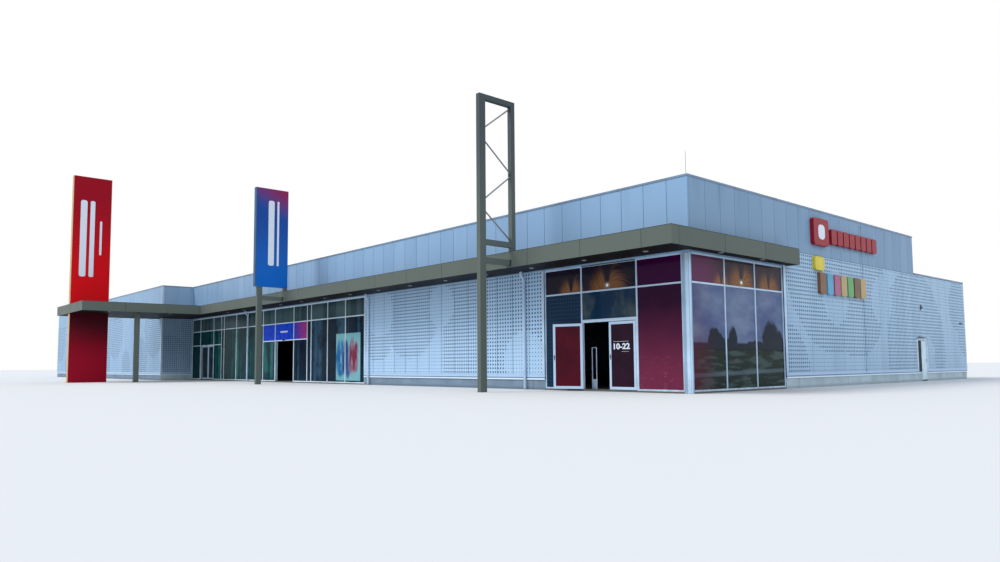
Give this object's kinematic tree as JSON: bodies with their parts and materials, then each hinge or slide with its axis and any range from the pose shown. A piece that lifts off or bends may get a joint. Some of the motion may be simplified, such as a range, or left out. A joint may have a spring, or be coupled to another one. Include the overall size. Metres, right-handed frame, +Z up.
{
  "type": "supermarket building, 1:10 scale model",
  "caption": "Single-storey supermarket at 1:10: clad hollow shell, glazed corner with hinged doors, shop front with sliding doors, canopy, open frame, sign box and pylon.",
  "frame": {"origin": "middle of the footprint's bounding box, on the ground", "axes": "+X right along the front, +Y to the rear, +Z up"},
  "size_m": [8.422, 3.697, 1.46],
  "materials": {
    "white_panels": "smooth pale blue-white coated cassettes",
    "perforated_cladding": "white coated steel sheet with rows of small square holes",
    "concrete": "cast concrete, faintly stained",
    "floor_concrete": "floated concrete",
    "roofing": "grey roofing membrane",
    "white_frames": "white powder coat",
    "shop_glass": "dark shop glazing",
    "red_film_glass": "glass with dark red film",
    "olive_metal": "olive-grey powder coat",
    "soffit": "dark brown-olive sheet",
    "steel_rods": "galvanised",
    "blue_sign": "lit sign face, blue to magenta",
    "red_paint": "gloss red sheet",
    "dark_trim": "dark grey coat"
  },
  "bodies": {
    "building": {"floor_hall": "floor_concrete", "floor_wing": "floor_concrete", "plinth_hall": "concrete", "plinth_rear": "concrete", "plinth_wing": "concrete", "roof_hall": "roofing", "roof_wing": "roofing", "roof_rear": "roofing", "coping_hall": "white_panels", "coping_wing": "white_panels", "coping_rear": "white_panels", "open_frame": "olive_metal", "open_frame_bracing": "steel_rods", "sign_posts": "olive_metal", "lit_sign": "blue_sign", "red_pylon": "red_paint", "downpipes": "white_frames", "lightning_rod": "steel_rods", "front_wall": "perforated_cladding", "side_wall_front": "perforated_cladding", "side_wall_rear": "perforated_cladding", "side_door_lintel": "perforated_cladding", "rear_wall": "perforated_cladding", "front_parapet": "white_panels", "side_parapet": "white_panels", "rear_step_wall": "white_panels", "wing_front_wall": "perforated_cladding", "wing_rear_wall": "perforated_cladding", "corner_post": "white_frames", "corner_frame_sides": "white_frames", "corner_frame_head": "white_frames", "corner_side_frame": "white_frames", "corner_door_frame": "white_frames", "corner_front_glass": "red_film_glass", "corner_side_glass": "red_film_glass", "storefront_frames": "white_frames", "entrance_heads": "white_frames", "entrance_b_sign": "blue_sign", "storefront_glass_right": "shop_glass", "storefront_glass_middle": "shop_glass", "entrance_glass": "shop_glass", "side_door_frame": "white_frames", "side_light_pane": "shop_glass", "side_door_fittings": "dark_trim", "canopy_fascia": "olive_metal", "canopy_deck": "soffit", "wing_canopy_fascia": "olive_metal", "wing_canopy_deck": "soffit", "canopy_post": "olive_metal"},
    "corner_left": {"corner_leaf_left": "white_frames"},
    "corner_right": {"corner_leaf_right": "white_frames"},
    "entrance_b_left": {"entrance_b_leaf_left": "white_frames"},
    "entrance_b_right": {"entrance_b_leaf_right": "white_frames"},
    "entrance_a_left": {"entrance_a_leaf_left": "white_frames"},
    "entrance_a_right": {"entrance_a_leaf_right": "white_frames"},
    "side_door": {"side_door_leaf": "white_frames"}
  },
  "joints": [
    {"name": "corner_left_hinge", "type": "hinge", "parent": "building", "child": "corner_left", "pos_m": [3.666, -0.9005, 0.13], "axis": [0, 0, 1], "range_deg": [0, 160]},
    {"name": "corner_right_hinge", "type": "hinge", "parent": "building", "child": "corner_right", "pos_m": [3.916, -0.9005, 0.13], "axis": [0, 0, 1], "range_deg": [0, 160]},
    {"name": "entrance_b_slide", "type": "slide", "parent": "building", "child": "entrance_b_right", "axis": [-1, 0, 0], "range_m": [0, 0.128]},
    {"name": "entrance_b_follow", "type": "slide", "parent": "building", "child": "entrance_b_left", "axis": [1, 0, 0], "range_m": [0, 0.128]},
    {"name": "entrance_a_slide", "type": "slide", "parent": "building", "child": "entrance_a_right", "axis": [1, 0, 0], "range_m": [0, 0.128]},
    {"name": "entrance_a_follow", "type": "slide", "parent": "building", "child": "entrance_a_left", "axis": [-1, 0, 0], "range_m": [0, 0.128]},
    {"name": "side_door_hinge", "type": "hinge", "parent": "building", "child": "side_door", "pos_m": [4.152, 1.1635, 0.1], "axis": [0, 0, -1], "range_deg": [0, 100]}
  ],
  "couplings": [
    {"joint": "entrance_b_follow", "follows": "entrance_b_slide", "ratio": 1},
    {"joint": "entrance_a_follow", "follows": "entrance_a_slide", "ratio": 1}
  ]
}
